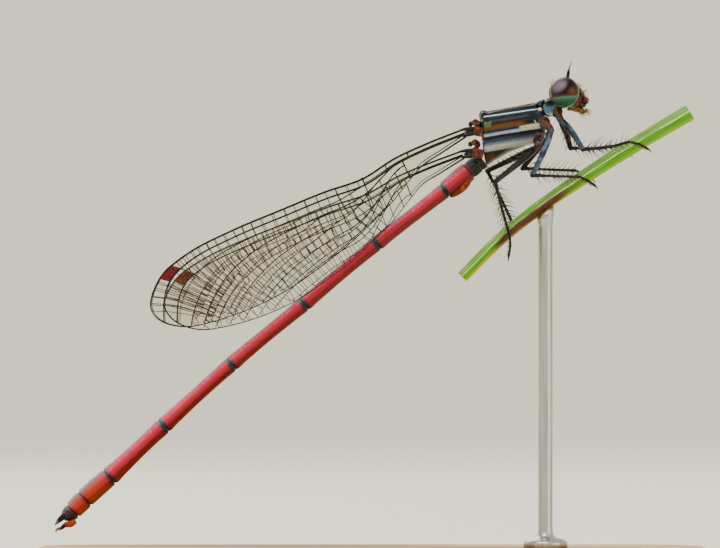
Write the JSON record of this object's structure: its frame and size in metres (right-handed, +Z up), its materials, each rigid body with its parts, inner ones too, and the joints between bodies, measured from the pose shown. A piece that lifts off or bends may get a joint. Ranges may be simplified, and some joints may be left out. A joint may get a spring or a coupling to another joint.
{
  "type": "damselfly",
  "caption": "Life-size model of a slender red and black damselfly with closed clear wings, gripping a short cut grass blade that a rod on a flat base holds up.",
  "frame": {"origin": "middle of the stand base's underside", "axes": "+X from the tail to the head along the base, +Y to the animal's left, +Z up"},
  "size_m": [0.04, 0.015, 0.0309],
  "materials": {
    "base_wood": "satin",
    "rod_steel": "satin",
    "grass": "satin",
    "shell_black": "gloss",
    "shell_brown": "gloss",
    "abdomen_red": "satin",
    "eye": "gloss",
    "leg": "satin",
    "wing": "gloss"
  },
  "bodies": {
    "root": {"stand_base": "base_wood", "stand_rod": "rod_steel", "perch": "grass", "head": "shell_brown", "lower_lip": "shell_brown", "prothorax": "shell_black", "thorax": "shell_black", "abdomen_1_2": "abdomen_red", "abdomen_3": "abdomen_red", "abdomen_4": "abdomen_red", "abdomen_5": "abdomen_red", "abdomen_6": "abdomen_red", "abdomen_7": "abdomen_red", "abdomen_8": "abdomen_red", "abdomen_9": "abdomen_red", "abdomen_10": "abdomen_red", "eye_right": "eye", "eye_left": "eye", "antenna_right": "leg", "antenna_left": "leg", "forewing_right": "wing", "forewing_left": "wing", "hindwing_right": "wing", "hindwing_left": "wing", "thigh_front_right": "leg", "thigh_front_left": "leg", "thigh_middle_right": "leg", "thigh_middle_left": "leg", "thigh_hind_right": "leg", "thigh_hind_left": "leg", "shin_front_right": "leg", "shin_front_left": "leg", "shin_middle_right": "leg", "shin_middle_left": "leg", "shin_hind_right": "leg", "shin_hind_left": "leg"}
  },
  "joints": []
}
